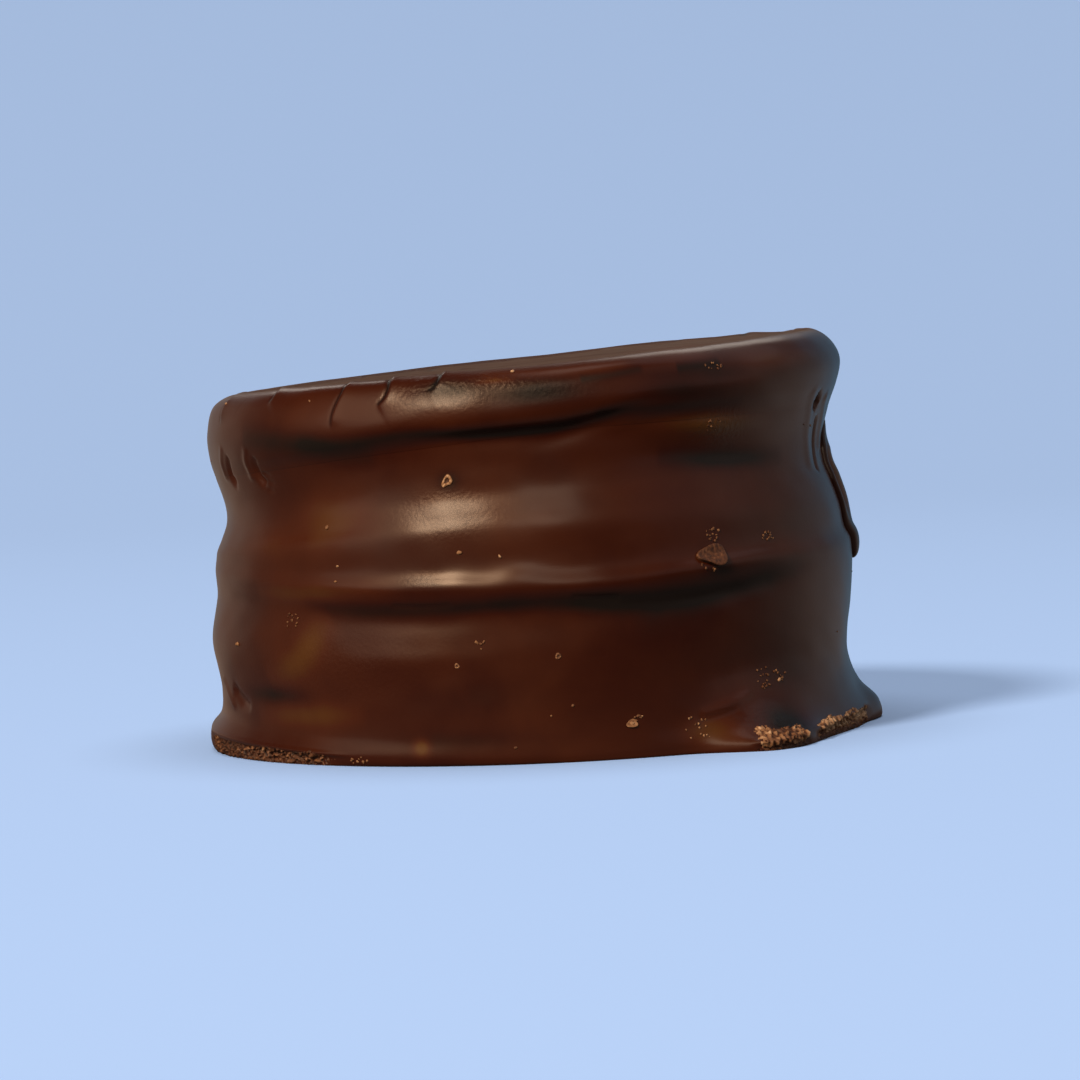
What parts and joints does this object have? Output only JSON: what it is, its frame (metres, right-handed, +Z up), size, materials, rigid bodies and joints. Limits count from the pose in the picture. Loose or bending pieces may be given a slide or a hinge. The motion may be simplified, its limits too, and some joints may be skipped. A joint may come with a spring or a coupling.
{
  "type": "alfajor cookie",
  "caption": "Tall round chocolate-coated sandwich cookie with a sloping top, soft bulges over its layers and a thin broken chocolate foot.",
  "frame": {"origin": "middle of the bounding box's footprint, on the underside", "axes": "+Z up through the flat underside to the top; +X towards the taller side; -Y is the front"},
  "size_m": [0.0646, 0.0618, 0.0376],
  "materials": {
    "chocolate_coat": "satin dark chocolate with soft sheen, small pinholes and rougher broken edges at the foot"
  },
  "bodies": {
    "root": {"alfajor": "chocolate_coat"}
  },
  "joints": []
}
